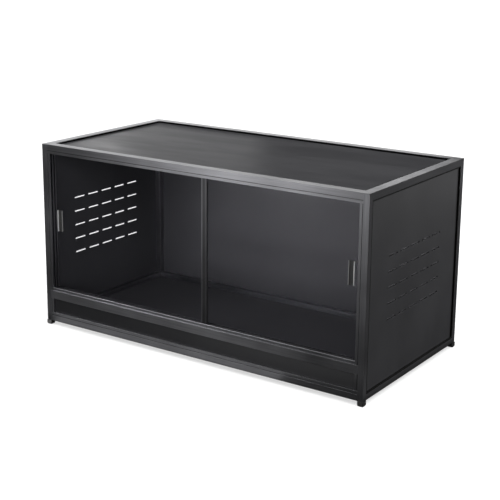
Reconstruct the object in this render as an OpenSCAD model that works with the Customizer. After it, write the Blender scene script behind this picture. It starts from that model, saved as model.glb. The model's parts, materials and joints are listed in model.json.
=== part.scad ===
// Sliding-door reptile terrarium: a rebated aluminium frame with sheet panels,
// two glass doors in a double track, and a low front panel that holds the substrate back.
// Millimetres. Origin: middle of the floor print, on the ground. +Z up, front faces -Y.

/* [Enclosure] */
// Width over the frame
body_w = 1016; // [800:1:1300]
// Depth over the frame
body_d = 508; // [400:1:700]
// Height of the frame without its feet
frame_h = 506; // [400:1:700]

/* [Frame profile] */
// Side of the square profile
rail = 25; // [25:0.5:30]
// Thickness of the profile walls and of the lapping face plates
wall = 2; // [1.6:0.1:2.2]
// From the outer edge to the fine groove in each front face
groove_at = 16.5; // [15.5:0.5:18]
// Width of the fine groove
groove_w = 1.5; // [1:0.1:2]
// Depth of the fine groove
groove_deep = 0.9; // [0.5:0.1:1.2]
// Width of the outer face of the posts and bottom rails around a side or back panel
side_lip = 15; // [14:0.5:16]
// Height of the outer face of the top rails above a side or back panel
top_lip = 18; // [16:0.5:20]
// Height of the rail under the doors
middle_h = 23.5; // [20:0.5:28]
// Height of the clear opening in front of the substrate panel
dam_open = 41; // [30:1:120]

/* [Panels] */
// Thickness of the top, side, back and substrate panels
panel_t = 3; // [2:0.5:4]
// How far the panels lie behind the outer faces
panel_recess = 5; // [3.5:0.5:6]
// Thickness of the floor panel
floor_t = 5; // [3:0.5:6]
// Height of the floor slot above the bottom of the frame
floor_slot_at = 6; // [4:0.5:7]
// How far a panel reaches into its slot
slot_reach = 5.5; // [4:0.5:6]
// Play on each side of a panel in its slot
panel_play = 0.2; // [0.1:0.05:0.4]
// Room past the edge of a panel or a pane at the end of its slot
end_play = 0.5; // [0.3:0.1:0.5]
// Width of the black bead that seats a panel
bead_w = 4; // [2:0.5:6]

/* [Vent slots] */
// Slots in one row
vent_cols = 5; // [2:1:6]
// Rows of slots
vent_rows = 5; // [2:1:8]
// Length of a slot
vent_l = 45; // [20:1:50]
// Height of a slot
vent_h = 5; // [3:0.5:10]
// Spacing of the slots along a row
vent_pitch_y = 58; // [56:1:66]
// Spacing of the rows
vent_pitch_z = 40; // [25:1:50]

/* [Doors] */
// Thickness of the glass
glass_t = 4; // [3:0.5:4.5]
// Play on each side of a pane in its channel
pane_play = 0.5; // [0.3:0.1:0.6]
// Clear distance between the two panes
pane_gap = 6; // [5.5:0.1:6.4]
// Gap between a pane and the bottom of its channel
pane_lift = 0.3; // [0.2:0.1:0.6]
// How far the panes reach up behind the edge of the top rail
pane_engage = 5.5; // [4:0.5:6.5]
// How far the outer edge of a pane reaches into its post
pane_reach = 6.5; // [4:0.5:6.5]
// From the middle of the width to the free edge of the front door
front_edge_x = 47; // [0:1:80]
// How far the two doors pass each other when shut
door_overlap = 14; // [8:1:100]

/* [Door tracks] */
// From the front face to the track
track_setback = 3.2; // [2.8:0.1:3.4]
// Thickness of the outer walls of the tracks
track_wall = 2.5; // [2:0.1:2.6]
// Thickness of the base of the tracks
track_base = 1.5; // [1:0.1:2]
// Height of the lower track
lower_track_h = 8; // [6:0.5:10]
// Height of the pocket in the top rail that holds the upper track
track_pocket = 14; // [13:0.5:15]
// How far the upper track stays above the lower edge of the top rail
upper_track_up = 0.5; // [0:0.1:2]

/* [Door edge strip and pulls] */
// Width of the strip on the inner edge of the front door
strip_w = 16.5; // [10:0.5:24]
// Thickness of the strip in front of the glass
strip_front = 1.5; // [0.8:0.1:2]
// Thickness of the strip behind and beside the glass
strip_back = 1; // [0.6:0.1:1.4]
// Space between the ends of the strip and the track and top rail
strip_end_gap = 1.5; // [0.5:0.5:6]
// Depth of the flute down the middle of the strip
strip_flute = 0.5; // [0.2:0.1:0.7]
// Height of a finger pull
pull_h = 60; // [40:1:90]
// Width of a finger pull
pull_w = 18; // [14:0.5:24]
// Depth of a finger pull from the glass to its outer ridge
pull_deep = 3.6; // [2:0.1:4]
// Thickness of the plate of a finger pull
pull_plate = 1; // [0.6:0.1:1.4]
// Thickness of each ridge of a finger pull
pull_ridge = 3; // [1.5:0.1:4]
// Drop from the outer ridge to the inner ridge
pull_step = 0.8; // [0.2:0.1:1.2]
// Height of the middle of the left pull above the ground
left_pull_z = 307; // [200:1:340]
// Height of the middle of the right pull above the ground
right_pull_z = 319; // [200:1:340]
// From the left post to the middle of the left pull
left_pull_in = 31; // [20:1:60]
// From the right post to the middle of the right pull
right_pull_in = 24; // [15:1:60]

/* [Feet] */
// Side of the square foot
foot_w = 17; // [16:0.5:28]
// Height of the foot
foot_h = 12; // [6:0.5:20]
// How far the foot stands out past the frame
foot_proud = 2; // [0:0.1:3]
// Radius of the upright corners of the foot
foot_r = 2.5; // [1:0.1:4]
// Height of the narrower sole of the foot
sole_h = 2; // [1:0.1:3]
// How far the sole is set in
sole_in = 1; // [0.5:0.1:2]
// Radius of the foot screw
screw_r = 2.4; // [1.8:0.1:2.6]
// Radius of the screw head
screw_head_r = 4.4; // [3.6:0.1:5]
// Height of the screw head
screw_head_h = 2.4; // [1.5:0.1:3]
// Depth of the screw head inside the foot
screw_sink = 1; // [0.5:0.1:2]

/* [Corner joints] */
// Length of each leg of a corner joint, from the outer corner
joint_leg = 60; // [45:1:90]
// Play around a leg and around a screw
joint_play = 0.2; // [0.1:0.05:0.3]
// Length of the key that holds each end of the middle rail
key_l = 54; // [40:1:80]
// Height of the key
key_h = 10; // [6:0.5:11]
// Opening of the mitres between the top plates
mitre_gap = 0.3; // [0.1:0.1:0.6]

/* [Hidden] */

$fn = 48;
LEFT = -1;
RIGHT = 1;
FRONT = -1;
REAR = 1;
BOTTOM = -1;
TOP = 1;
// Overrun of every cutting shape past the face it cuts
OVER = 1;

FRAME_BLACK = "#38383b";
PANEL_BLACK = "#333336";
RUBBER_BLACK = "#151516";
GLASS_GREY = [0.35, 0.38, 0.4, 0.35];
PULL_GREY = "#8a8a8c";
STEEL_GREY = "#a5a6a8";
JOINT_GREY = "#2a2a2c";

half_w = body_w / 2;
half_d = body_d / 2;
frame_z = foot_h;
top_z = foot_h + frame_h;
// Inner faces of the posts and rails
in_x = half_w - rail;
in_y = half_d - rail;

// Rebate that a side or back panel lies in, and the slots of the other panels
rebate = panel_recess + panel_t;
slot_near = panel_recess - panel_play;
slot_w = panel_t + 2 * panel_play;
slot_deep = slot_reach + end_play;
floor_slot_w = floor_t + 2 * panel_play;
// Inner limits of the profile hollows beside a slot, a lip and the outer face
hollow_to = rail - slot_deep - wall;
hollow_lip = side_lip - wall;
hollow_from = rebate + wall;
hollow_far = rail - wall;

// Double track, measured from the front face
channel_w = glass_t + 2 * pane_play;
front_channel = track_setback + track_wall;
rear_channel = front_channel + glass_t + pane_gap;
track_end = rear_channel + channel_w + track_wall;
post_slot = pane_reach + end_play;
front_glass_y = -half_d + front_channel + pane_play;
rear_glass_y = -half_d + rear_channel + pane_play;

middle_z = frame_z + rail + dam_open;
sill_z = middle_z + middle_h;
lower_lip_z = sill_z + lower_track_h;
head_z = top_z - rail;
pane_z = sill_z + track_base + pane_lift;
pane_top = head_z + pane_engage;
roof = rail - track_pocket;

// Beads stay just below the outer faces
bead_sink = 0.5;
bead_deep = panel_recess - bead_sink;

// Corner joints: a thick upright leg and two flat legs
leg_from = wall + joint_play;
leg_to = hollow_lip - joint_play;
flat_hollow = roof - wall;
flat_to = flat_hollow - joint_play;
leg_mid = (leg_from + leg_to) / 2;

// Key of the middle rail, between the two door slots of the post
key_y = front_channel + channel_w + joint_play;
key_t = rear_channel - front_channel - channel_w - 2 * joint_play;
key_z = sill_z - wall - joint_play - key_h;
key_in = half_w - (rail - post_slot - 2 * wall);

// ---- helpers ----

module box(low, high) {
    translate(low) cube(high - low);
}

module rect(low, high) {
    translate(low) square(high - low);
}

// Left-hand, front or bottom shapes, turned over to the other side
module on_side(side) {
    mirror([side == RIGHT ? 1 : 0, 0, 0]) children();
}

module on_depth(depth) {
    mirror([0, depth == REAR ? 1 : 0, 0]) children();
}

// Heights counted from the bottom of the frame up, or from its top down
module on_level(level) {
    translate([0, 0, level == TOP ? top_z : frame_z])
        mirror([0, 0, level == TOP ? 1 : 0]) children();
}

// A section drawn as (from the front face, from the bottom) swept along X
module along_x(length) {
    translate([0, -half_d, 0]) rotate([90, 0, 90])
        linear_extrude(length, center = true) children();
}

// A section drawn as (from the side face, from the bottom) swept along Y
module along_y(length) {
    translate([-half_w, 0, 0]) rotate([90, 0, 0])
        linear_extrude(length, center = true) children();
}

module pill(length, height) {
    square([length - height, height], center = true);
    for (end = [-1, 1]) translate([end * (length - height) / 2, 0]) circle(d = height);
}

module ring(outer, inner_by) {
    difference() {
        square(outer, center = true);
        square(outer - 2 * [inner_by, inner_by], center = true);
    }
}

// ---- sections of the profile ----

module post_front_section() {
    difference() {
        rect([0, 0], [rail, rail]);
        rect([-OVER, side_lip], [rebate, rail + OVER]);
        rect([groove_at, -OVER], [groove_at + groove_w, groove_deep]);
        rect([rail - post_slot, slot_near], [rail + OVER, slot_near + slot_w]);
        for (channel = [front_channel, rear_channel])
            rect([rail - post_slot, channel], [rail + OVER, channel + channel_w]);
        rect([wall, wall], [rail - post_slot - wall, hollow_lip]);
        rect([hollow_from, wall], [rail - post_slot - wall, hollow_far]);
    }
}

module post_rear_section() {
    difference() {
        rect([0, 0], [rail, rail]);
        rect([-OVER, side_lip], [rebate, rail + OVER]);
        rect([side_lip, -OVER], [rail + OVER, rebate]);
        rect([wall, wall], [hollow_lip, hollow_lip]);
        rect([hollow_from, hollow_from], [hollow_far, hollow_far]);
    }
}

module bottom_section() {
    difference() {
        rect([0, 0], [rail, rail]);
        rect([-OVER, side_lip], [rebate, rail + OVER]);
        floor_slot();
        rect([wall, wall], [hollow_to, hollow_lip]);
        rect([hollow_from, wall], [hollow_to, hollow_far]);
        rect([hollow_from, floor_slot_at + floor_slot_w + wall], [hollow_far, hollow_far]);
    }
}

module bottom_front_section() {
    difference() {
        rect([0, 0], [rail, rail]);
        front_groove();
        floor_slot();
        rect([slot_near, rail - slot_deep], [slot_near + slot_w, rail + OVER]);
        rect([wall, wall], [hollow_to, hollow_to]);
        rect([slot_near + slot_w + wall, wall], [hollow_to, hollow_far]);
        rect([slot_near + slot_w + wall, floor_slot_at + floor_slot_w + wall],
             [hollow_far, hollow_far]);
    }
}

module middle_section() {
    difference() {
        rect([0, 0], [rail, middle_h]);
        rect([slot_near, -OVER], [slot_near + slot_w, slot_deep]);
        rect([wall, slot_deep + wall], [hollow_far, middle_h - wall]);
        rect([slot_near + slot_w + wall, wall], [hollow_far, middle_h - wall]);
    }
}

module top_section() {
    difference() {
        rect([0, 0], [rail, rail]);
        rect([-OVER, top_lip], [rebate, rail + OVER]);
        top_slot();
        rect([wall, wall], [hollow_to, top_lip - wall]);
        rect([hollow_from, wall], [hollow_to, hollow_far]);
        rect([hollow_from, slot_near + slot_w + wall], [hollow_far, hollow_far]);
    }
}

module top_front_section() {
    difference() {
        rect([0, 0], [rail, rail]);
        front_groove();
        top_slot();
        rect([track_setback, roof], [track_end, rail + OVER]);
        rect([wall, wall], [hollow_to, flat_hollow]);
    }
}

module floor_slot() {
    rect([rail - slot_deep, floor_slot_at], [rail + OVER, floor_slot_at + floor_slot_w]);
}

module top_slot() {
    rect([rail - slot_deep, slot_near], [rail + OVER, slot_near + slot_w]);
}

module front_groove() {
    rect([-OVER, groove_at], [groove_deep, groove_at + groove_w]);
}

// The track: a base with three walls, drawn upward from the base
module track_section(height) {
    rect([track_setback, 0], [track_end, track_base]);
    rect([track_setback, 0], [front_channel, height]);
    rect([front_channel + channel_w, 0], [rear_channel, height]);
    rect([rear_channel + channel_w, 0], [track_end, height]);
}

// ---- frame ----

// Passages through a post for the flat legs of its two corner joints
module joint_passages() {
    for (level = [BOTTOM, TOP]) on_level(level) {
        box([-half_w + wall, -half_d + wall, wall],
            [-in_x + OVER, -half_d + hollow_lip, flat_hollow]);
        box([-half_w + wall, -half_d + wall, wall],
            [-half_w + hollow_lip, -in_y + OVER, flat_hollow]);
    }
}

module post(side, depth) {
    color(FRAME_BLACK) on_side(side) on_depth(depth) difference() {
        translate([-half_w, -half_d, frame_z]) linear_extrude(frame_h - wall) children();
        joint_passages();
        if (depth == FRONT) post_laps();
    }
}

// Steps in a front post for the lapping ends of the front rails, and a passage for the key
module post_laps() {
    for (span = [[frame_z, frame_z + rail], [middle_z, sill_z], [head_z, top_z]])
        box([-half_w + groove_at, -half_d - OVER, span[0]],
            [-in_x + OVER, -half_d + wall, span[1]]);
    box([-key_in - joint_play, key_y - half_d - joint_play, key_z - joint_play],
        [-in_x + OVER, key_y - half_d + key_t + joint_play, key_z + key_h + joint_play]);
}

// A front rail between the posts, with a thin face plate that laps each post
module front_rail(level_low, level_high) {
    difference() {
        along_x(body_w - 2 * groove_at) children();
        for (side = [LEFT, RIGHT]) on_side(side)
            box([-half_w, -half_d + wall, level_low - OVER],
                [-in_x, -in_y + OVER, level_high + OVER]);
    }
}

// A side rail whose outer face runs on to the lips of the posts
module side_rail(side, level) {
    color(FRAME_BLACK) on_side(side) on_level(level) difference() {
        along_y(body_d - 2 * side_lip) children();
        for (depth = [FRONT, REAR]) on_depth(depth)
            box([-half_w + rebate, -half_d, -OVER], [-in_x + OVER, -in_y, rail + OVER]);
        if (level == TOP) plate_room();
    }
}

module rear_rail(level) {
    color(FRAME_BLACK) on_depth(REAR) on_level(level) difference() {
        along_x(body_w - 2 * side_lip) children();
        for (side = [LEFT, RIGHT]) on_side(side)
            box([-half_w, -half_d + rebate, -OVER], [-in_x, -in_y + OVER, rail + OVER]);
        if (level == TOP) plate_room();
    }
}

// Everything above the posts, which the mitred top plates fill
module plate_room() {
    box([-half_w - OVER, -half_d - OVER, -OVER], [half_w + OVER, half_d + OVER, wall]);
}

// Mitred plate of a top rail: outer length, the rail's run, and its outer edge
module top_plate(length, reach) {
    translate([0, 0, top_z - wall]) linear_extrude(wall) polygon([
        [-length / 2 + mitre_gap, -reach], [length / 2 - mitre_gap, -reach],
        [length / 2 - rail - mitre_gap, rail - reach],
        [-length / 2 + rail + mitre_gap, rail - reach]
    ]);
}

module top_front_rail() {
    color(FRAME_BLACK) {
        difference() {
            on_level(TOP) front_rail(0, rail) top_front_section();
            translate([0, 0, top_z]) mirror([0, 0, 1]) plate_room();
        }
        top_plate(body_w, half_d);
    }
}

module top_rear_rail() {
    rear_rail(TOP) top_section();
    color(FRAME_BLACK) on_depth(REAR) top_plate(body_w, half_d);
}

module top_side_rail(side) {
    side_rail(side, TOP) top_section();
    color(FRAME_BLACK) on_side(side) rotate([0, 0, -90]) top_plate(body_d, half_w);
}

module bottom_front_rail() {
    color(FRAME_BLACK) on_level(BOTTOM) front_rail(0, rail) bottom_front_section();
}

module middle_rail() {
    color(FRAME_BLACK) translate([0, 0, middle_z]) front_rail(0, middle_h) middle_section();
}

// ---- tracks ----

module lower_track() {
    color(FRAME_BLACK) translate([0, 0, sill_z])
        along_x(2 * in_x) track_section(lower_track_h);
}

module upper_track() {
    color(FRAME_BLACK) translate([0, 0, top_z - roof]) mirror([0, 0, 1])
        along_x(2 * in_x) track_section(track_pocket - upper_track_up);
}

// ---- panels and their beads ----

// A panel whose edges run into slots, notched round the four posts
module slotted_panel(low_z, thick) {
    translate([0, 0, low_z]) linear_extrude(thick) {
        square(2 * [in_x + slot_reach, in_y - panel_play], center = true);
        square(2 * [in_x - panel_play, in_y + slot_reach], center = true);
    }
}

module top_panel() {
    color(PANEL_BLACK) slotted_panel(top_z - rebate, panel_t);
}

module floor_panel() {
    color(PANEL_BLACK) slotted_panel(frame_z + floor_slot_at + panel_play, floor_t);
}

// Opening that a side or back panel closes, with its middle and its height
lip_low = frame_z + side_lip;
lip_high = top_z - top_lip;
lip_mid = (lip_low + lip_high) / 2;
lip_h = lip_high - lip_low;
side_span = body_d - 2 * side_lip;
back_span = body_w - 2 * side_lip;

module vent_slots() {
    for (col = [0 : vent_cols - 1], row = [0 : vent_rows - 1])
        translate([(col - (vent_cols - 1) / 2) * vent_pitch_y,
                   (row - (vent_rows - 1) / 2) * vent_pitch_z
                   + frame_z + frame_h / 2 - lip_mid])
            pill(vent_l, vent_h);
}

// Shapes drawn flat as (along the wall, up) and stood in a side or back wall
module in_side_wall(side, inset, thick) {
    on_side(side) translate([-half_w + inset, 0, lip_mid])
        rotate([90, 0, 90]) linear_extrude(thick) children();
}

module in_back_wall(inset, thick) {
    translate([0, half_d - inset, lip_mid]) rotate([90, 0, 0]) linear_extrude(thick) children();
}

module side_panel(side) {
    color(PANEL_BLACK) in_side_wall(side, panel_recess, panel_t) difference() {
        square([side_span, lip_h] - 2 * panel_play * [1, 1], center = true);
        vent_slots();
    }
}

module back_panel() {
    color(PANEL_BLACK) in_back_wall(panel_recess, panel_t)
        square([back_span, lip_h] - 2 * panel_play * [1, 1], center = true);
}

module substrate_panel() {
    color(PANEL_BLACK)
        box([-in_x - slot_reach, -half_d + panel_recess, frame_z + rail - slot_reach],
            [in_x + slot_reach, -half_d + rebate, middle_z + slot_reach]);
}

module top_bead() {
    color(RUBBER_BLACK) translate([0, 0, top_z - panel_recess]) linear_extrude(bead_deep)
        ring(2 * [in_x, in_y], bead_w);
}

module side_bead(side) {
    color(RUBBER_BLACK) in_side_wall(side, bead_sink, bead_deep)
        ring([side_span, lip_h], bead_w);
}

module back_bead() {
    color(RUBBER_BLACK) in_back_wall(bead_sink, bead_deep) ring([back_span, lip_h], bead_w);
}

// ---- doors ----

module pane(edge_x, inner_x, front_y) {
    color(GLASS_GREY) box([edge_x, front_y, pane_z], [inner_x, front_y + glass_t, pane_top]);
}

module left_door_glass() {
    pane(-in_x - pane_reach, front_edge_x - strip_back, front_glass_y);
}

module right_door_glass() {
    pane(front_edge_x - door_overlap, in_x + pane_reach, rear_glass_y);
}

// Channel strip on the inner edge of the front door, with a shallow flute down its face
module left_door_strip() {
    strip_x = front_edge_x - strip_w;
    low = lower_lip_z + strip_end_gap;
    color(FRAME_BLACK) translate([0, 0, low]) linear_extrude(head_z - strip_end_gap - low)
        difference() {
            rect([strip_x, front_glass_y - strip_front],
                 [front_edge_x, front_glass_y + glass_t + strip_back]);
            rect([strip_x - OVER, front_glass_y],
                 [front_edge_x - strip_back, front_glass_y + glass_t]);
            rect([strip_x + strip_w / 3, front_glass_y - strip_front - OVER],
                 [front_edge_x - strip_w / 3, front_glass_y - strip_front + strip_flute]);
        }
}

// Finger pull: a plate on the glass with a high outer ridge and a lower inner one
module pull(side, mid_x, mid_z, glass_y) {
    color(PULL_GREY) translate([mid_x, glass_y, mid_z]) on_side(side)
        translate([-pull_w / 2, 0, -pull_h / 2]) linear_extrude(pull_h) {
            rect([0, -pull_plate], [pull_w, 0]);
            rect([0, -pull_deep], [pull_ridge, 0]);
            rect([pull_w - pull_ridge, -pull_deep + pull_step], [pull_w, 0]);
        }
}

module left_door_pull() {
    pull(LEFT, -in_x + left_pull_in, left_pull_z, front_glass_y);
}

module right_door_pull() {
    pull(RIGHT, in_x - right_pull_in, right_pull_z, rear_glass_y);
}

// ---- feet ----

module rounded_square(size, radius) {
    square([size, size - 2 * radius], center = true);
    square([size - 2 * radius, size], center = true);
    for (x = [-1, 1], y = [-1, 1]) translate([x, y] * (size / 2 - radius)) circle(radius);
}

foot_mid = foot_w / 2 - foot_proud;

// Rubber foot under a post, with a low plug in the open end of the post
module foot(side, depth) {
    color(RUBBER_BLACK) on_side(side) on_depth(depth) difference() {
        union() {
            translate([foot_mid - half_w, foot_mid - half_d, sole_h])
                linear_extrude(foot_h - sole_h) rounded_square(foot_w, foot_r);
            translate([foot_mid - half_w, foot_mid - half_d, 0])
                linear_extrude(sole_h) rounded_square(foot_w - 2 * sole_in, foot_r);
            box([-half_w + leg_from, -half_d + leg_from, foot_h - OVER],
                [-half_w + leg_to, -half_d + leg_to, foot_h + wall]);
        }
        translate([leg_mid - half_w, leg_mid - half_d, -OVER]) {
            cylinder(h = foot_h + wall + 2 * OVER, r = screw_r + joint_play);
            cylinder(h = OVER + screw_sink + screw_head_h, r = screw_head_r + joint_play);
        }
    }
}

// Screw that runs up through a foot into the corner joint above it
module foot_screw(side, depth) {
    color(STEEL_GREY) on_side(side) on_depth(depth)
        translate([leg_mid - half_w, leg_mid - half_d, screw_sink]) {
            cylinder(h = screw_head_h, r = screw_head_r);
            cylinder(h = frame_z + leg_to - screw_sink, r = screw_r);
        }
}

// ---- joints inside the hollow profiles ----

module corner_joint(side, depth, level) {
    low = [leg_from - half_w, leg_from - half_d, leg_from];
    color(JOINT_GREY) on_side(side) on_depth(depth) on_level(level) difference() {
        union() {
            box(low, [leg_to - half_w, leg_to - half_d, joint_leg]);
            box(low, [joint_leg - half_w, leg_to - half_d, flat_to]);
            box(low, [leg_to - half_w, joint_leg - half_d, flat_to]);
        }
        translate([leg_mid - half_w, leg_mid - half_d, 0])
            cylinder(h = leg_to + OVER, r = screw_r + joint_play / 2);
    }
}

module middle_key(side) {
    color(JOINT_GREY) on_side(side)
        box([-key_in, key_y - half_d, key_z],
            [-key_in + key_l, key_y - half_d + key_t, key_z + key_h]);
}

post(LEFT, FRONT) post_front_section();  // front_left_post
post(RIGHT, FRONT) post_front_section();  // front_right_post
post(LEFT, REAR) post_rear_section();  // rear_left_post
post(RIGHT, REAR) post_rear_section();  // rear_right_post
top_front_rail();
top_rear_rail();
top_side_rail(LEFT);  // top_left_rail
top_side_rail(RIGHT);  // top_right_rail
bottom_front_rail();
rear_rail(BOTTOM) bottom_section();  // bottom_rear_rail
side_rail(LEFT, BOTTOM) bottom_section();  // bottom_left_rail
side_rail(RIGHT, BOTTOM) bottom_section();  // bottom_right_rail
middle_rail();
lower_track();
upper_track();
top_panel();
floor_panel();
back_panel();
side_panel(LEFT);  // left_panel
side_panel(RIGHT);  // right_panel
substrate_panel();
top_bead();
back_bead();
side_bead(LEFT);  // left_bead
side_bead(RIGHT);  // right_bead
left_door_glass();
left_door_strip();
left_door_pull();
right_door_glass();
right_door_pull();
foot(LEFT, FRONT);  // foot_front_left
foot(RIGHT, FRONT);  // foot_front_right
foot(LEFT, REAR);  // foot_rear_left
foot(RIGHT, REAR);  // foot_rear_right
foot_screw(LEFT, FRONT);  // screw_front_left
foot_screw(RIGHT, FRONT);  // screw_front_right
foot_screw(LEFT, REAR);  // screw_rear_left
foot_screw(RIGHT, REAR);  // screw_rear_right
corner_joint(LEFT, FRONT, BOTTOM);  // joint_bottom_front_left
corner_joint(RIGHT, FRONT, BOTTOM);  // joint_bottom_front_right
corner_joint(LEFT, REAR, BOTTOM);  // joint_bottom_rear_left
corner_joint(RIGHT, REAR, BOTTOM);  // joint_bottom_rear_right
corner_joint(LEFT, FRONT, TOP);  // joint_top_front_left
corner_joint(RIGHT, FRONT, TOP);  // joint_top_front_right
corner_joint(LEFT, REAR, TOP);  // joint_top_rear_left
corner_joint(RIGHT, REAR, TOP);  // joint_top_rear_right
middle_key(LEFT);  // middle_key_left
middle_key(RIGHT);  // middle_key_right
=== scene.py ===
"""Dresses the sliding-door reptile terrarium: finishes, slot rims, screws, studio and camera.

Metres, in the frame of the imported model: +X along the length, -Y towards the front, +Z up.
"""

import json
import math

import bmesh
import bpy
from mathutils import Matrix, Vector

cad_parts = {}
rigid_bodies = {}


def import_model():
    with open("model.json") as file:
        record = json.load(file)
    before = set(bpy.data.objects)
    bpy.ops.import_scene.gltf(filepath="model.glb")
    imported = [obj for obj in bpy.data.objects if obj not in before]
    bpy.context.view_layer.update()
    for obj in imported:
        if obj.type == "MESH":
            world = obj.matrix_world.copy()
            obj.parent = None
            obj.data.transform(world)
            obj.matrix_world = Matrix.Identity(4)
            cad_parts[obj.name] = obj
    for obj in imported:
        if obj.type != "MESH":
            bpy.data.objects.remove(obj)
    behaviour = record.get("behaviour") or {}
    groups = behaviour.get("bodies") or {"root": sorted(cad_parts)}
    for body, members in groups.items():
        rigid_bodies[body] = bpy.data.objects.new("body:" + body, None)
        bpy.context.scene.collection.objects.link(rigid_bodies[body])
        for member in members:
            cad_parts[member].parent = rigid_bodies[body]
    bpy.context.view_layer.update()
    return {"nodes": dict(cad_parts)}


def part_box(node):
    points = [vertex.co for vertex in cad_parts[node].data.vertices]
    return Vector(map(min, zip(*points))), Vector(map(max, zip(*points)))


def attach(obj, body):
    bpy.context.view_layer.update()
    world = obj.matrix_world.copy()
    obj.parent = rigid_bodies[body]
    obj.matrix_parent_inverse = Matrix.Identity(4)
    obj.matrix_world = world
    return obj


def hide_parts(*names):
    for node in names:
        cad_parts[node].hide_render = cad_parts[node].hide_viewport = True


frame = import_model()
NODES = frame["nodes"]
MM = 0.001
# The plane of the front faces
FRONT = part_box("front_left_post")[0].y


# ---- node maths ----


class Wire:
    """A node's output socket. Arithmetic on wires adds the Math nodes that work it out."""

    def __init__(self, tree, socket=None):
        self.tree = tree
        self.socket = socket

    def node(self, kind, settings=None, inputs=None, output=0):
        """Adds a node: its settings first, then its sockets' values or links."""
        made = self.tree.nodes.new(kind)
        for name, value in (settings or {}).items():
            setattr(made, name, value)
        for name, value in (inputs or {}).items():
            if isinstance(value, Wire):
                self.tree.links.new(value.socket, made.inputs[name])
            else:
                made.inputs[name].default_value = value
        return Wire(self.tree, made.outputs[output])

    def math(self, operation, *values):
        return self.node("ShaderNodeMath", {"operation": operation}, dict(enumerate(values)))

    def __add__(self, other):
        return self.math("ADD", self, other)

    def __sub__(self, other):
        return self.math("SUBTRACT", self, other)

    def __rsub__(self, other):
        return self.math("SUBTRACT", other, self)

    def __mul__(self, other):
        return self.math("MULTIPLY", self, other)

    __radd__ = __add__
    __rmul__ = __mul__

    def part(self, axis):
        """One coordinate of a point: 0 for X, 1 for Y, 2 for Z."""
        return self.node("ShaderNodeSeparateXYZ", inputs={0: self}, output=axis)

    def size(self):
        """The number without its sign."""
        return self.math("ABSOLUTE", self)

    def least(self, other):
        """The smaller of the two numbers."""
        return self.math("MINIMUM", self, other)

    def ramp(self, low, high, out_low=0.0, out_high=1.0):
        """Goes smoothly from out_low at low to out_high at high."""
        return self.node("ShaderNodeMapRange", {"interpolation_type": "SMOOTHSTEP"}, {
            "Value": self, "From Min": low, "From Max": high,
            "To Min": out_low, "To Max": out_high,
        })

    def colours(self, dark, light):
        """Mixes two colours by this wire."""
        return self.node(
            "ShaderNodeMix", {"data_type": "RGBA"}, {0: self, 6: rgba(dark), 7: rgba(light)}, 2
        )


def rgba(colour):
    """A colour for a socket, from a grey level or from red, green and blue."""
    if isinstance(colour, float):
        colour = (colour, colour, colour)
    return (*colour, 1.0)


def cool(shade, blue):
    """A grey with its blue part raised."""
    return (shade, shade, shade * blue)


def material(name):
    """A new material with only its output, and a wire to build on."""
    made = bpy.data.materials.new(name)
    made.use_nodes = True
    made.node_tree.nodes.clear()
    return made, Wire(made.node_tree)


def show(made, shader):
    """Ends a material with its shader."""
    out = made.node_tree.nodes.new("ShaderNodeOutputMaterial")
    made.node_tree.links.new(shader.socket, out.inputs["Surface"])
    return made


def position(wire, stretch=(1.0, 1.0, 1.0)):
    """The point on the piece in metres, with each axis multiplied by stretch."""
    point = wire.node("ShaderNodeTexCoord", output=3)
    if stretch == (1.0, 1.0, 1.0):
        return point
    return wire.node("ShaderNodeVectorMath", {"operation": "MULTIPLY"}, {0: point, 1: stretch})


def noise(wire, point, scale, detail=3.0, roughness=0.5):
    """Clouds between 0 and 1, with about scale of them to a metre."""
    return wire.node(
        "ShaderNodeTexNoise",
        inputs={"Vector": point, "Scale": scale, "Detail": detail, "Roughness": roughness},
    )


def bump(wire, height, strength, distance):
    """The normal of a surface that rises and falls with height."""
    return wire.node(
        "ShaderNodeBump", inputs={"Height": height, "Strength": strength, "Distance": distance}
    )


# ---- finishes ----

# Between these values of a noise one tone fades into the other: gently, or with crisper borders
SOFT = (0.3, 0.7)
CRISP = (0.35, 0.65)
# Over this width the painted shade and painted highlights on a piece fade into its plain tone
BLEND = 0.2 * MM
# Width of each ridge of a finger pull, and thickness of a track wall
PULL_RIDGE = 3.0 * MM
TRACK_WALL = 2.5 * MM
# Fine groove in the front faces: its middle from the outer edge, half its width, its depth
GROOVE_AT = 17.25 * MM
GROOVE_HALF = 0.75 * MM
GROOVE_DEEP = 0.9 * MM
# How much each axis is shrunk for lines that run along X, Y or Z
LINES_ALONG = {"x": (0.02, 1.0, 1.0), "y": (1.0, 0.02, 1.0), "z": (1.0, 1.0, 0.02)}


def anodised(name, axis, shade=0.3, painted_light=None):
    """Satin black anodised extrusion with faint die lines along its length.

    painted_light, if given, is a function from the point to how bright the metal is painted
    there: painted highlights and painted shade.
    """
    rough, rough_spread, blue = 0.37, 0.05, 1.055
    made, wire = material(name)
    point = position(wire)
    clouds = noise(wire, point, 9.0, 2.0)
    lines = noise(wire, position(wire, LINES_ALONG[axis]), 1500.0, 2.0)
    bands = noise(wire, position(wire, LINES_ALONG[axis]), 330.0, 2.0)
    grain = noise(wire, point, 2600.0, 1.0)
    tone = 0.35 * clouds + 0.4 * bands + 0.15 * lines + 0.1 * grain
    colour = tone.ramp(*SOFT).colours(cool(shade * 0.8, blue), cool(shade * 1.18, blue))
    if painted_light:
        colour = wire.node(
            "ShaderNodeVectorMath", {"operation": "SCALE"}, {0: colour, "Scale": painted_light(point)}
        )
    gloss = 0.5 * clouds + 0.3 * lines + 0.2 * grain
    shader = wire.node(
        "ShaderNodeBsdfPrincipled",
        inputs={
            "Base Color": colour,
            "Metallic": 1.0,
            "Roughness": gloss.ramp(*SOFT, rough - rough_spread, rough + rough_spread),
            "Normal": bump(wire, 0.7 * lines + 0.3 * grain, 0.25, 0.02 * MM),
        },
    )
    return show(made, shader)


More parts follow.
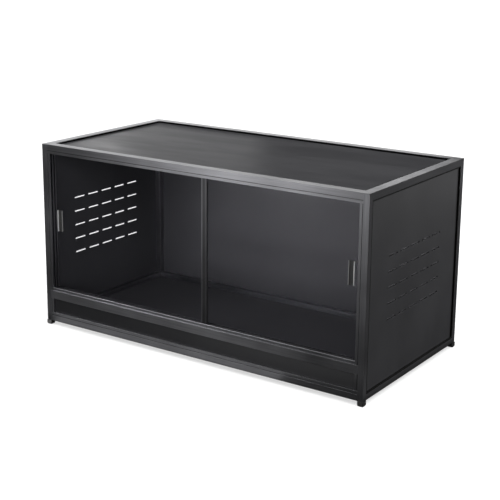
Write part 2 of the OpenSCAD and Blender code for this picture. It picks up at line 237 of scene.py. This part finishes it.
def groove_shade(across):
    """Painted shade: the fine groove in a front face is painted dark, for the shade inside it.
    across gives its distance.
    """
    darkening = 0.75

    def painted_light(point):
        deep = point.part(1) - FRONT
        below_face = deep.ramp(0.1 * MM, 0.4 * MM)
        above_floor = deep.ramp(GROOVE_DEEP, GROOVE_DEEP + BLEND, 1.0, 0.0)
        near = across(point).ramp(GROOVE_HALF, GROOVE_HALF + BLEND, 1.0, 0.0)
        return 1.0 - darkening * below_face * above_floor * near

    return painted_light


def across_post(point):
    """Distance from the groove in a front post."""
    return (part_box("front_right_post")[1].x - GROOVE_AT - point.part(0).size()).size()


def across_rail(point):
    """Distance from the groove in the top or the bottom front rail, whichever is nearer."""
    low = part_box("bottom_front_rail")[0].z + GROOVE_AT
    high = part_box("top_front_rail")[1].z - GROOVE_AT
    return (point.part(2) - low).size().least((point.part(2) - high).size())


def strip_painted_light(point):
    """Painted light on the channel strip: a painted highlight along its open edge, and painted
    shade in its flute.
    """
    edge_highlight, plain, flute_shade = 2.2, 1.1, 0.35
    low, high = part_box("left_door_strip")
    third = (high.x - low.x) / 3
    along = point.part(0) - low.x
    open_edge = along.ramp(1.2 * MM, 2.4 * MM, edge_highlight, plain)
    flute = (along - 1.5 * third).size().ramp(third * 0.4, third * 0.55, flute_shade, 0.0)
    return open_edge - flute


def track_painted_light(point):
    """Painted light on the lower track: a painted highlight on the rim of its front wall, and
    painted shade in its channels.
    """
    channel_shade, on_wall, rim_highlight = 0.42, 0.38, 1.53
    low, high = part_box("lower_track")
    wall_back = low.y + TRACK_WALL
    rim = point.part(2).ramp(high.z - 1.2 * MM, high.z - 0.6 * MM, on_wall, rim_highlight)
    return point.part(1).ramp(wall_back, wall_back + BLEND, 1.0, 0.0) * rim + channel_shade


def sheet_black(name, gloss, stretch=(1.0, 1.0, 1.0), shade=0.04):
    """Black satin panel with a fine orange-peel skin and cloudy gloss.

    gloss is the roughness in the glossiest and in the dullest clouds; stretch draws them out.
    """
    blue = 1.075
    made, wire = material(name)
    point = position(wire)
    clouds = noise(wire, position(wire, stretch), 5.0, 3.0, 0.6)
    peel = noise(wire, point, 420.0, 2.0)
    grain = noise(wire, point, 1900.0, 1.0)
    tone = (0.7 * clouds + 0.3 * grain).ramp(*SOFT)
    shader = wire.node(
        "ShaderNodeBsdfPrincipled",
        inputs={
            "Base Color": tone.colours(cool(shade * 0.9, blue), cool(shade * 1.1, blue)),
            "Roughness": (0.8 * clouds + 0.2 * grain).ramp(*CRISP, *gloss),
            "Specular IOR Level": 0.3,
            "Normal": bump(wire, 0.6 * peel + 0.4 * grain, 0.3, 0.03 * MM),
        },
    )
    return show(made, shader)


def rubber_black(name, shade, gloss):
    """Moulded rubber: fine matt grain, with a gloss that comes and goes with it."""
    made, wire = material(name)
    point = position(wire)
    grain = noise(wire, point, 900.0, 3.0)
    shader = wire.node(
        "ShaderNodeBsdfPrincipled",
        inputs={
            "Base Color": grain.ramp(*CRISP).colours(shade * 0.7, shade * 1.3),
            "Roughness": grain.ramp(*SOFT, 0.66, 0.84),
            "Specular IOR Level": gloss,
            "Normal": bump(wire, grain, 0.4, 0.05 * MM),
        },
    )
    return show(made, shader)


def pane_glass(node):
    """Clear pane: a see-through sheet with a mirror skin, and ground edges that show greenish."""
    made, wire = material(node)
    low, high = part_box(node)
    middle, half = (low + high) / 2, (high - low) / 2
    point = position(wire)
    across = half.x - (point.part(0) - middle.x).size()
    up = half.z - (point.part(2) - middle.z).size()
    edge = across.least(up).ramp(0.2 * MM, 0.7 * MM, 1.0, 0.0)
    smear = noise(wire, point, 14.0, 3.0, 0.6)
    mirror = wire.node(
        "ShaderNodeBsdfPrincipled",
        inputs={
            "Base Color": rgba(0.01),
            "Metallic": 0.0,
            "Roughness": smear.ramp(*CRISP, 0.03, 0.07),
            "Specular IOR Level": 0.5,
        },
    )
    clear = wire.node("ShaderNodeBsdfTransparent", inputs={"Color": (0.94, 0.938, 0.952, 1.0)})
    fresnel = wire.node("ShaderNodeFresnel", inputs={"IOR": 1.45})
    from_inside = wire.node("ShaderNodeNewGeometry", output="Backfacing")
    skin = fresnel * (1.0 - from_inside)
    sheet = wire.node("ShaderNodeMixShader", inputs={0: skin, 1: clear, 2: mirror})
    ground = wire.node(
        "ShaderNodeBsdfPrincipled",
        inputs={"Base Color": (0.05, 0.09, 0.08, 1.0), "Roughness": 0.3},
    )
    edge_cover = 0.6
    pane = wire.node("ShaderNodeMixShader", inputs={0: edge * edge_cover, 1: sheet, 2: ground})
    return show(made, pane)


def pull_painted_highlights(node):
    """Dark satin plate whose ridges are painted bright for the highlights on its edges: the outer
    ridge fully, the inner one less.
    """
    fade, inner_highlight = 0.3 * MM, 0.3
    made, wire = material("finish_" + node)
    low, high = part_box(node)
    outer = low.x if node.startswith("left") else high.x
    across = position(wire).part(0) - outer
    inward = across.size()
    outer_ridge = inward.ramp(PULL_RIDGE, PULL_RIDGE + fade, 1.0, 0.0)
    inner_edge = high.x - low.x - PULL_RIDGE
    inner_ridge = inward.ramp(inner_edge - fade, inner_edge, 0.0, inner_highlight)
    lines = noise(wire, position(wire, LINES_ALONG["z"]), 2600.0, 2.0)
    ridge_highlight = (outer_ridge + inner_ridge) * lines.ramp(*SOFT, 0.9, 1.0)
    shader = wire.node(
        "ShaderNodeBsdfPrincipled",
        inputs={
            "Base Color": ridge_highlight.colours(0.07, 0.95),
            "Metallic": 1.0,
            "Roughness": lines.ramp(*SOFT, 0.3, 0.4),
            "Normal": bump(wire, lines, 0.2, 0.02 * MM),
        },
    )
    return show(made, shader)


def zinc_steel():
    """Zinc plating with a faint cloudy grain."""
    made, wire = material("zinc_steel")
    grain = noise(wire, position(wire), 700.0, 3.0)
    shader = wire.node(
        "ShaderNodeBsdfPrincipled",
        inputs={
            "Base Color": grain.ramp(*SOFT).colours(0.4, (0.55, 0.55, 0.54)),
            "Metallic": 1.0,
            "Roughness": grain.ramp(*SOFT, 0.3, 0.42),
            "Normal": bump(wire, grain, 0.15, 0.03 * MM),
        },
    )
    return show(made, shader)


def nylon_black():
    """Glass-filled nylon of the hidden connectors."""
    made, wire = material("nylon_black")
    grain = noise(wire, position(wire), 1200.0, 3.0)
    shader = wire.node(
        "ShaderNodeBsdfPrincipled",
        inputs={
            "Base Color": grain.ramp(*SOFT).colours(0.022, 0.034),
            "Roughness": grain.ramp(*SOFT, 0.5, 0.62),
            "Normal": bump(wire, grain, 0.3, 0.03 * MM),
        },
    )
    return show(made, shader)


# These anodised metals carry painted light: painted shade in the front grooves, and painted
# highlights and painted shade on the track and the strip
METAL_X = anodised("anodised_along_x", "x", painted_light=groove_shade(across_rail))
METAL_Y = anodised("anodised_along_y", "y")
METAL_Z = anodised("anodised_along_z", "z", painted_light=groove_shade(across_post))
METAL_TRACK = anodised("anodised_track", "x", painted_light=track_painted_light)
METAL_STRIP = anodised("anodised_strip", "z", shade=0.085, painted_light=strip_painted_light)
SHEET = sheet_black("sheet_black", (0.41, 0.47))
# The top's base colour is lighter than the other sheets': painted light on the top, which is the
# same black sheet
TOP_SHEET = sheet_black("top_sheet", (0.30, 0.42), stretch=(0.5, 1.8, 1.0), shade=0.056)
BEAD_RUBBER = rubber_black("bead_rubber", 0.006, 0.12)
FOOT_RUBBER = rubber_black("foot_rubber", 0.052, 0.3)
ZINC = zinc_steel()
NYLON = nylon_black()


def finish_of(name):
    """The material of a CAD node, from what it is and which way it runs."""
    if name.endswith("_glass"):
        return pane_glass(name)
    if name.endswith("_pull"):
        return pull_painted_highlights(name)
    if name.endswith("_panel"):
        return TOP_SHEET if name == "top_panel" else SHEET
    if name.endswith("_bead"):
        return BEAD_RUBBER
    if name.startswith("foot_"):
        return FOOT_RUBBER
    if name.startswith("screw_"):
        return ZINC
    if name.startswith(("joint_", "middle_key")):
        return NYLON
    if name == "left_door_strip":
        return METAL_STRIP
    if name == "lower_track":
        return METAL_TRACK
    if name.endswith("_post"):
        return METAL_Z
    if name.endswith(("_left_rail", "_right_rail")):
        return METAL_Y
    return METAL_X


def dress(name, rounding):
    """Gives a CAD node its finish, and rounds its sharp edges by a modifier stack."""
    piece = NODES[name]
    piece.data.materials.clear()
    piece.data.materials.append(finish_of(name))
    if not rounding:
        return
    weld = piece.modifiers.new("weld", "WELD")
    weld.merge_threshold = 0.005 * MM
    flatten = piece.modifiers.new("flatten", "DECIMATE")
    flatten.decimate_type = "DISSOLVE"
    flatten.angle_limit = math.radians(1.0)
    edge = piece.modifiers.new("rounding", "BEVEL")
    edge.width = rounding
    edge.segments = 2
    edge.limit_method = "ANGLE"
    edge.angle_limit = math.radians(35.0)
    edge.harden_normals = True
    even = piece.modifiers.new("even_normals", "WEIGHTED_NORMAL")
    even.keep_sharp = True


# Flat sheets with slots that a planar clean-up would close, and panes that a rounding would cloud
SHARP = ("left_panel", "right_panel", "left_door_glass", "right_door_glass")
# Edge radius in millimetres, by what a node's name holds
ROUNDINGS = {"_post": 0.5, "_rail": 0.5, "_track": 0.8, "_strip": 0.3, "_pull": 0.45,
             "_panel": 0.25, "_bead": 0.4, "foot": 0.4, "joint": 0.4, "key": 0.4}
for node_name in NODES:
    width = next((mm for part, mm in ROUNDINGS.items() if part in node_name), 0.0)
    dress(node_name, 0.0 if node_name in SHARP else width * MM)


# ---- pieces that repeat ----


def new_tree(name, sizes):
    """A Geometry Nodes tree with a named input for each size, and its inputs as wires."""
    tree = bpy.data.node_groups.new(name, "GeometryNodeTree")
    for label, kind in sizes.items():
        tree.interface.new_socket(name=label, in_out="INPUT", socket_type="NodeSocket" + kind)
    tree.interface.new_socket(name="Geometry", in_out="OUTPUT", socket_type="NodeSocketGeometry")
    source = tree.nodes.new("NodeGroupInput")
    return tree, {label: Wire(tree, source.outputs[label]) for label in sizes}


def end_tree(tree, geometry, finish):
    """Realises the instances, gives them their material and ends the tree."""
    real = geometry.node("GeometryNodeRealizeInstances", inputs={"Geometry": geometry})
    smooth = real.node("GeometryNodeSetShadeSmooth", inputs={"Geometry": real})
    dressed = smooth.node(
        "GeometryNodeSetMaterial", inputs={"Geometry": smooth, "Material": finish}
    )
    sink = tree.nodes.new("NodeGroupOutput")
    tree.links.new(dressed.socket, sink.inputs["Geometry"])


def xyz(wire, x=0.0, y=0.0, z=0.0):
    """A point from wires or numbers."""
    return wire.node("ShaderNodeCombineXYZ", inputs={"X": x, "Y": y, "Z": z})


def grown(name, tree, values):
    """Runs a tree on an empty mesh and keeps the result as a plain mesh on the enclosure."""
    made = bpy.data.objects.new(name, bpy.data.meshes.new(name))
    bpy.context.scene.collection.objects.link(made)
    modifier = made.modifiers.new("grow", "NODES")
    modifier.node_group = tree
    for item in tree.interface.items_tree:
        if item.in_out == "INPUT":
            modifier[item.identifier] = values[item.name]
    graph = bpy.context.evaluated_depsgraph_get()
    mesh = bpy.data.meshes.new_from_object(made.evaluated_get(graph), depsgraph=graph)
    made.modifiers.remove(modifier)
    made.data = mesh
    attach(made, "enclosure")
    return made


def slot_rims_tree():
    """Rolled rims round a grid of slots, on both faces of both side panels."""
    corner_steps, section_sides = 8, 8
    # Just under half, so that the short sides don't shrink to nothing
    corner_share = 0.495
    tree, size = new_tree("slot_rims", {
        "Slot Length": "Float", "Slot Height": "Float", "Rim Radius": "Float",
        "Pitch Along": "Float", "Pitch Up": "Float", "Columns": "Int", "Rows": "Int",
        "Middle Height": "Float", "Outer Face": "Float", "Inner Face": "Float",
        "Finish": "Material",
    })
    columns, rows = size["Columns"], size["Rows"]
    grid = columns.node("GeometryNodeMeshGrid", inputs={
        "Size X": size["Pitch Along"] * (columns - 1), "Size Y": size["Pitch Up"] * (rows - 1),
        "Vertices X": columns, "Vertices Y": rows,
    })
    outline = columns.node("GeometryNodeCurvePrimitiveQuadrilateral", inputs={
        "Width": size["Slot Length"], "Height": size["Slot Height"],
    })
    rounded = outline.node("GeometryNodeFilletCurve", {"mode": "POLY"}, {
        "Curve": outline, "Count": corner_steps, "Limit Radius": True,
        "Radius": size["Slot Height"] * corner_share,
    })
    section = columns.node("GeometryNodeCurvePrimitiveCircle", inputs={
        "Resolution": section_sides, "Radius": size["Rim Radius"],
    })
    rim = rounded.node("GeometryNodeCurveToMesh", inputs={
        "Curve": rounded, "Profile Curve": section,
    })
    rims = grid.node("GeometryNodeInstanceOnPoints", inputs={"Points": grid, "Instance": rim})
    quarter = math.radians(90.0)
    join = tree.nodes.new("GeometryNodeJoinGeometry")
    for face in (size["Outer Face"], size["Inner Face"]):
        for side in (face, face * -1.0):
            placed = rims.node("GeometryNodeTransform", inputs={
                "Geometry": rims, "Rotation": (quarter, 0.0, quarter),
                "Translation": xyz(side, side, 0.0, size["Middle Height"]),
            })
            tree.links.new(placed.socket, join.inputs["Geometry"])
    end_tree(tree, Wire(tree, join.outputs["Geometry"]), size["Finish"])
    return tree


def corners_tree():
    """One copy of a template at each of the four corners of a rectangle."""
    tree, size = new_tree("at_corners", {
        "Template": "Object", "Spread Along": "Float", "Spread Deep": "Float",
        "Finish": "Material",
    })
    grid = size["Template"].node("GeometryNodeMeshGrid", inputs={
        "Size X": size["Spread Along"], "Size Y": size["Spread Deep"],
        "Vertices X": 2, "Vertices Y": 2,
    })
    copied = grid.node(
        "GeometryNodeObjectInfo", inputs={"Object": size["Template"]}, output="Geometry"
    )
    placed = grid.node("GeometryNodeInstanceOnPoints", inputs={
        "Points": grid, "Instance": copied,
    })
    end_tree(tree, placed, size["Finish"])
    return tree


def grid_mesh(name, rings):
    """A closed turned piece from rings of points, each ring a list of (x, y, z)."""
    shape = bmesh.new()
    turned = [[shape.verts.new(point) for point in ring] for ring in rings]
    for lower, upper in zip(turned, turned[1:]):
        for i in range(len(lower)):
            j = (i + 1) % len(lower)
            shape.faces.new((lower[i], lower[j], upper[j], upper[i]))
    shape.faces.new(turned[-1])
    shape.faces.new(reversed(turned[0]))
    bmesh.ops.recalc_face_normals(shape, faces=shape.faces)
    mesh = bpy.data.meshes.new(name)
    shape.to_mesh(mesh)
    shape.free()
    return mesh


def foot_screw(head_r, head_h, shank_r, low, high):
    """Pan-head screw standing on its head: cross recess below, thread above."""
    around, head_rings, rings_per_pitch = 48, 22, 5
    angles = [i * 2 * math.pi / around for i in range(around)]
    arm_half, arm_reach, recess, dome = 0.55 * MM, 2.5 * MM, 1.3 * MM, 0.7 * MM
    arm_slope, end_slope = 0.25 * MM, 0.5 * MM
    pitch, thread = 1.25 * MM, 0.35 * MM

    def head_height(x, y):
        radius = math.hypot(x, y)
        bulge = dome * (radius / head_r) ** 4
        across, along = sorted((abs(x), abs(y)))
        in_arm = max(0.0, min(1.0, (arm_half - across) / arm_slope + 0.5))
        near = max(0.0, min(1.0, (arm_reach - along) / end_slope))
        return low + bulge + recess * in_arm * near

    rings = []
    for step in range(1, head_rings + 1):
        radius = head_r * step / head_rings
        rings.append([(radius * math.cos(a), radius * math.sin(a),
                       head_height(radius * math.cos(a), radius * math.sin(a))) for a in angles])
    top = low + head_h
    rings.append([(head_r * math.cos(a), head_r * math.sin(a), top) for a in angles])
    level = top
    while level < high:
        ring = []
        for a in angles:
            phase = (level / pitch - a / (2 * math.pi)) % 1.0
            radius = shank_r - thread * abs(2 * phase - 1)
            ring.append((radius * math.cos(a), radius * math.sin(a), level))
        rings.append(ring)
        level += pitch / rings_per_pitch
    return grid_mesh("foot_screw", rings)


def slot_rims():
    """The rims of all the vent slots, as one piece."""
    inner, outer = (corner.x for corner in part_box("right_panel"))
    low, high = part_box("front_right_post")
    return grown("slot_rims", slot_rims_tree(), {
        "Slot Length": 45 * MM, "Slot Height": 5 * MM, "Rim Radius": 0.45 * MM,
        "Pitch Along": 58 * MM, "Pitch Up": 40 * MM, "Columns": 5, "Rows": 5,
        "Middle Height": (low.z + high.z) / 2, "Outer Face": outer, "Inner Face": inner,
        "Finish": SHEET,
    })


def foot_screws():
    """The four screws under the feet, as one piece that replaces their plain shafts."""
    head_h, shank_r = 2.4 * MM, 2.4 * MM
    low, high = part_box("screw_front_left")
    middle = (low + high) / 2
    template = bpy.data.objects.new("template", foot_screw(
        (high.x - low.x) / 2, head_h, shank_r, low.z, high.z))
    made = grown("foot_screws", corners_tree(), {
        "Template": template, "Spread Along": -2 * middle.x, "Spread Deep": -2 * middle.y,
        "Finish": ZINC,
    })
    bpy.data.objects.remove(template)
    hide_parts(*(name for name in NODES if name.startswith("screw_")))
    return made


RIMS = slot_rims()
CORNER_SCREWS = foot_screws()

# ---- studio ----


def floor():
    """A plain pale floor that no piece mirrors."""
    reach = 30.0
    corners = [(x * reach, y * reach, 0.0) for x, y in ((-1, -1), (1, -1), (1, 1), (-1, 1))]
    mesh = bpy.data.meshes.new("floor")
    mesh.from_pydata(corners, [], [(0, 1, 2, 3)])
    made = bpy.data.objects.new("floor", mesh)
    bpy.context.scene.collection.objects.link(made)
    surface, wire = material("floor_pale")
    shader = wire.node("ShaderNodeBsdfPrincipled", inputs={
        "Base Color": rgba(0.9), "Roughness": 1.0, "Specular IOR Level": 0.0,
    })
    made.data.materials.append(show(surface, shader))
    made.visible_glossy = False
    made.visible_diffuse = False
    return made


FLOOR = floor()


def group(name, members):
    """A collection that lamps can be limited to."""
    made = bpy.data.collections.new(name)
    for member in members:
        made.objects.link(member)
    return made


def named(*endings):
    """The nodes whose names end in one of these ways."""
    return [piece for name, piece in NODES.items() if name.endswith(endings)]


METALS = group("metals", named("_rail", "_post", "_track", "_strip", "_pull"))
FRONT_METALS = group("front_metals", [
    piece for piece in METALS.objects
    if not (piece.name.startswith("top_") and piece.name.endswith("_rail"))])
RIGHT_METALS = group("right_metals", named("_right_rail", "_right_post"))
LEFT_METALS = group("left_metals", named("_left_rail", "_left_post"))
LEFT_SIDE = group("left_side", named("_left_rail", "rear_left_post"))
REAR_METALS = group("rear_metals", named("_rear_rail", "rear_left_post"))
REAR_CORNER = group("rear_corner", named("rear_left_post"))
SILL = group("sill", named("_track", "middle_rail", "bottom_front_rail"))
PULLS = group("pulls", named("_pull"))
STRIP = group("door_strip", named("_strip"))
PANES = group("panes", named("_glass"))
SHEETS = group("sheets", [RIMS, CORNER_SCREWS] + [
    piece for piece in NODES.values()
    if piece.name not in METALS.objects and piece.name not in PANES.objects])
LEFT_SHEETS = group("left_sheets", named("left_panel", "left_bead"))
RIGHT_SHEETS = group("right_sheets", [RIMS] + named("right_panel", "right_bead"))
BACK_SHEETS = group("back_sheets", named("back_panel", "back_bead"))
INNER = group("inner_sheets", named("back_panel", "left_panel", "floor_panel"))
DEEP = group("deep_sheets", named("back_panel", "floor_panel"))
OUTER = group("outer_sheets", [
    piece for piece in SHEETS.objects if piece.name not in INNER.objects])
FEET = group("feet", [piece for name, piece in NODES.items() if name.startswith("foot_")])
GROUND = group("ground", [FLOOR])


def on_ground(x, y, height):
    """Place and aim of a lamp that lies just over the floor and shines straight up."""
    return (x, y, height), (x, y, 1.0)


# Middle of the lamps beside the enclosure: they end below its top, which doesn't mirror them
LOW = 0.28
HEART = (0.0, 0.0, 0.3)
# Place, aim and size, in metres, of the lamps that light more than one group
OVERHEAD = ((0.0, 0.3, 2.4), HEART, (2.4, 1.6))
HIGH_LEFT = ((-2.2, -2.2, 2.2), HEART, (1.2, 1.2))
FRONT_LEFT = ((-0.6, -1.2, 1.0), (-0.18, 0.25, 0.25), (0.8, 0.4))
FRONT_RIGHT = ((1.3, -1.6, 1.0), (0.3, 0.2, 0.3), (0.8, 0.8))
REAR_LOW = ((1.5, 2.0, 0.22), (0.4, 0.0, 0.22), (0.8, 0.4))
# Each lamp: what it lights, its name, place, aim and size in metres, power in watts
LAMPS = (
    (METALS, "low_left", (-0.8, -1.75, 0.22), (-0.24, 0.0, 0.22), (0.5, 0.4), 2.2),
    (METALS, "low_left_near", (-0.6, -1.35, 0.13), (-0.18, 0.0, 0.3), (0.4, 0.22), 0.32),
    (METALS, "front_low", (0.0, -1.2, 0.3), (0.0, 0.25, 0.25), (0.8, 0.4), 0.28),
    (METALS, "front_left", *FRONT_LEFT, 2.4),
    (FRONT_METALS, "front_right", *FRONT_RIGHT, 26.0),
    (METALS, "high_left", *HIGH_LEFT, 16.0),
    (METALS, "ground_glow", *on_ground(-0.22, -0.36, 0.007), (0.82, 0.12), 0.038),
    (METALS, "ground_close", *on_ground(-0.12, -0.292, 0.007), (0.76, 0.05), 0.034),
    (METALS, "ground_right", *on_ground(0.57, 0.2, 0.007), (0.1, 0.9), 0.03),
    (METALS, "rear_left", (-2.1, 2.67, 0.95), (0.0, 0.0, 0.5), (2.8, 1.4), 22.0),
    (METALS, "overhead", *OVERHEAD, 14.0),
    (SILL, "above_sill", (-0.54, -0.4, 0.6), (-0.24, -0.25, 0.1), (0.6, 0.2), 7.5),
    (PULLS, "low_front", (-0.7, -1.3, 0.05), (0.0, -0.25, 0.3), (1.2, 0.3), 1.0),
    (RIGHT_METALS, "right", *on_ground(2.2, 0.8, 0.003), (3.0, 4.0), 3.8),
    (METALS, "left", (-3.0, 1.6, LOW), (-0.5, 0.5, LOW), (3.6, 0.4), 30.0),
    (LEFT_SIDE, "left_front", (-3.0, -1.8, LOW), (-0.5, 0.0, LOW), (2.8, 0.4), 24.0),
    (REAR_METALS, "rear_wide", (1.2, 3.0, LOW), (0.0, 0.25, LOW), (3.4, 0.4), 26.0),
    (METALS, "rear", (0.0, 3.0, LOW), (0.0, 0.25, LOW), (0.9, 0.4), 10.0),
    (METALS, "rear_low", *REAR_LOW, 0.28),
    (LEFT_METALS, "cabin", (0.0, 0.15, 0.2), (-0.5, -0.2, 0.25), (0.3, 0.3), 0.05),
    (REAR_CORNER, "slot_light", (-0.4, -0.15, 0.27), (-0.49, 0.25, 0.27), (0.15, 0.4), 0.2),
    (SHEETS, "overhead", *OVERHEAD, 46.5),
    (RIGHT_SHEETS, "rear_right", (2.4, 2.0, 1.2), HEART, (1.2, 1.2), 42.0),
    (SHEETS, "right", (3.0, 0.5, LOW), (0.5, 0.5, LOW), (3.4, 0.4), 22.0),
    (LEFT_SHEETS, "left", (-3.0, 0.0, LOW), (-0.5, 0.0, LOW), (5.0, 0.4), 34.0),
    (BACK_SHEETS, "rear", (0.0, 3.0, LOW), (0.0, 0.25, LOW), (5.0, 0.4), 26.0),
    (SHEETS, "rear_left", (-2.68, 2.09, 0.9), (0.0, 0.0, 0.5), (0.75, 1.4), 5.0),
    (SHEETS, "rear", (-2.05, 2.5, 0.79), (0.0, 0.0, 0.5), (0.7, 0.4), 1.3),
    (SHEETS, "rear_low", *REAR_LOW, 0.95),
    (OUTER, "high_left", *HIGH_LEFT, 20.5),
    (OUTER, "front_high", (0.2, -0.7, 1.3), (0.06, 0.25, 0.25), (0.8, 0.4), 1.65),
    (OUTER, "front_low", (-0.2, -1.35, 0.13), (-0.06, 0.0, 0.3), (0.4, 0.22), 2.1),
    (OUTER, "ground_glow", *on_ground(0.1, -0.9, 0.003), (0.5, 0.4), 7.0),
    (FEET, "left_near", (-0.8, -0.9, 0.15), (-0.5, -0.25, 0.0), (0.3, 0.3), 7.5),
    (INNER, "front_right", *FRONT_RIGHT, 20.0),
    (DEEP, "front_left", *FRONT_LEFT, 4.5),
    (INNER, "front_near", (0.6, -1.2, 0.3), (0.18, 0.25, 0.25), (0.8, 0.4), 6.3),
    (DEEP, "front_far", (-0.63, -2.4, 0.3), (-0.19, 0.0, 0.3), (1.0, 0.5), 35.0),
    (INNER, "front_high", (0.0, -2.6, 2.0), HEART, (1.2, 1.2), 39.0),
    (DEEP, "high_left", *HIGH_LEFT, 39.0),
    (DEEP, "ground_glow", *on_ground(-0.75, -0.9, 0.003), (0.8, 0.4), 17.5),
    (PANES, "rear_left", (-1.8, 2.88, 0.9), (0.0, 0.0, 0.5), (2.2, 1.4), 4.0),
)


def put_up(light, receivers, place, aim, blockers=None):
    """Puts up a light, out of the camera's sight, that lights one group only.

    Only the blockers, if given, cast its shadows.
    """
    made = bpy.data.objects.new(light.name, light)
    made.location = place
    made.rotation_euler = (Vector(aim) - Vector(place)).to_track_quat("-Z", "Y").to_euler()
    made.visible_camera = False
    made.light_linking.receiver_collection = receivers
    if blockers:
        made.light_linking.blocker_collection = blockers
    bpy.context.scene.collection.objects.link(made)


def softbox(receivers, name, place, aim, size, power, blockers=None):
    """Puts up a rectangular lamp."""
    light = bpy.data.lights.new(name, "AREA")
    light.shape = "RECTANGLE"
    light.size, light.size_y = size
    light.energy = power
    put_up(light, receivers, place, aim, blockers)


for lamp in LAMPS:
    softbox(*lamp)

# The strip's inner side is lit past the cabin's walls, which would keep it black
softbox(STRIP, "beside_strip", (0.7, 0.25, 0.2), (0.0, -0.245, 0.27), (0.4, 0.5), 1.3, GROUND)

# The floor is lit from all round, so that only a trace of a shadow lies on it
for name, strength, blockers in (("skylight", 1.0, None), ("fill", 3.6, GROUND)):
    sky = bpy.data.lights.new(name, "SUN")
    sky.angle = math.radians(100.0)
    sky.energy = strength
    put_up(sky, GROUND, (0.5, 0.5, 3.0), (0.2, 0.35, 0.0), blockers)


def studio_world():
    """White to the camera; to everything else a faint sky over a dark ground."""
    world = bpy.data.worlds.new("studio")
    bpy.context.scene.world = world
    world.use_nodes = True
    world.node_tree.nodes.clear()
    wire = Wire(world.node_tree)
    heading = wire.node("ShaderNodeTexCoord")
    height = heading.part(2)
    faint = 0.016
    sky = height.ramp(-0.02, 0.06, 0.0, faint)
    seen = wire.node("ShaderNodeLightPath")
    strength = wire.node("ShaderNodeMix", {"data_type": "FLOAT"}, {0: seen, 2: sky, 3: 1.0})
    background = wire.node("ShaderNodeBackground", inputs={
        "Color": rgba(1.0), "Strength": strength,
    })
    out = world.node_tree.nodes.new("ShaderNodeOutputWorld")
    world.node_tree.links.new(background.socket, out.inputs["Surface"])


def studio_camera():
    """A long lens from the right of the front, a little above the top."""
    data = bpy.data.cameras.new("camera")
    data.lens = 85.33
    data.sensor_width = 36.0
    data.shift_x, data.shift_y = 0.0345, -0.0715
    camera = bpy.data.objects.new("camera", data)
    camera.location = (1.7484, -2.5672, 1.1265)
    camera.rotation_euler = [math.radians(angle) for angle in (75.839, -0.335, 35.060)]
    bpy.context.scene.collection.objects.link(camera)
    bpy.context.scene.camera = camera


studio_world()
studio_camera()
bpy.context.scene.view_settings.view_transform = "Standard"
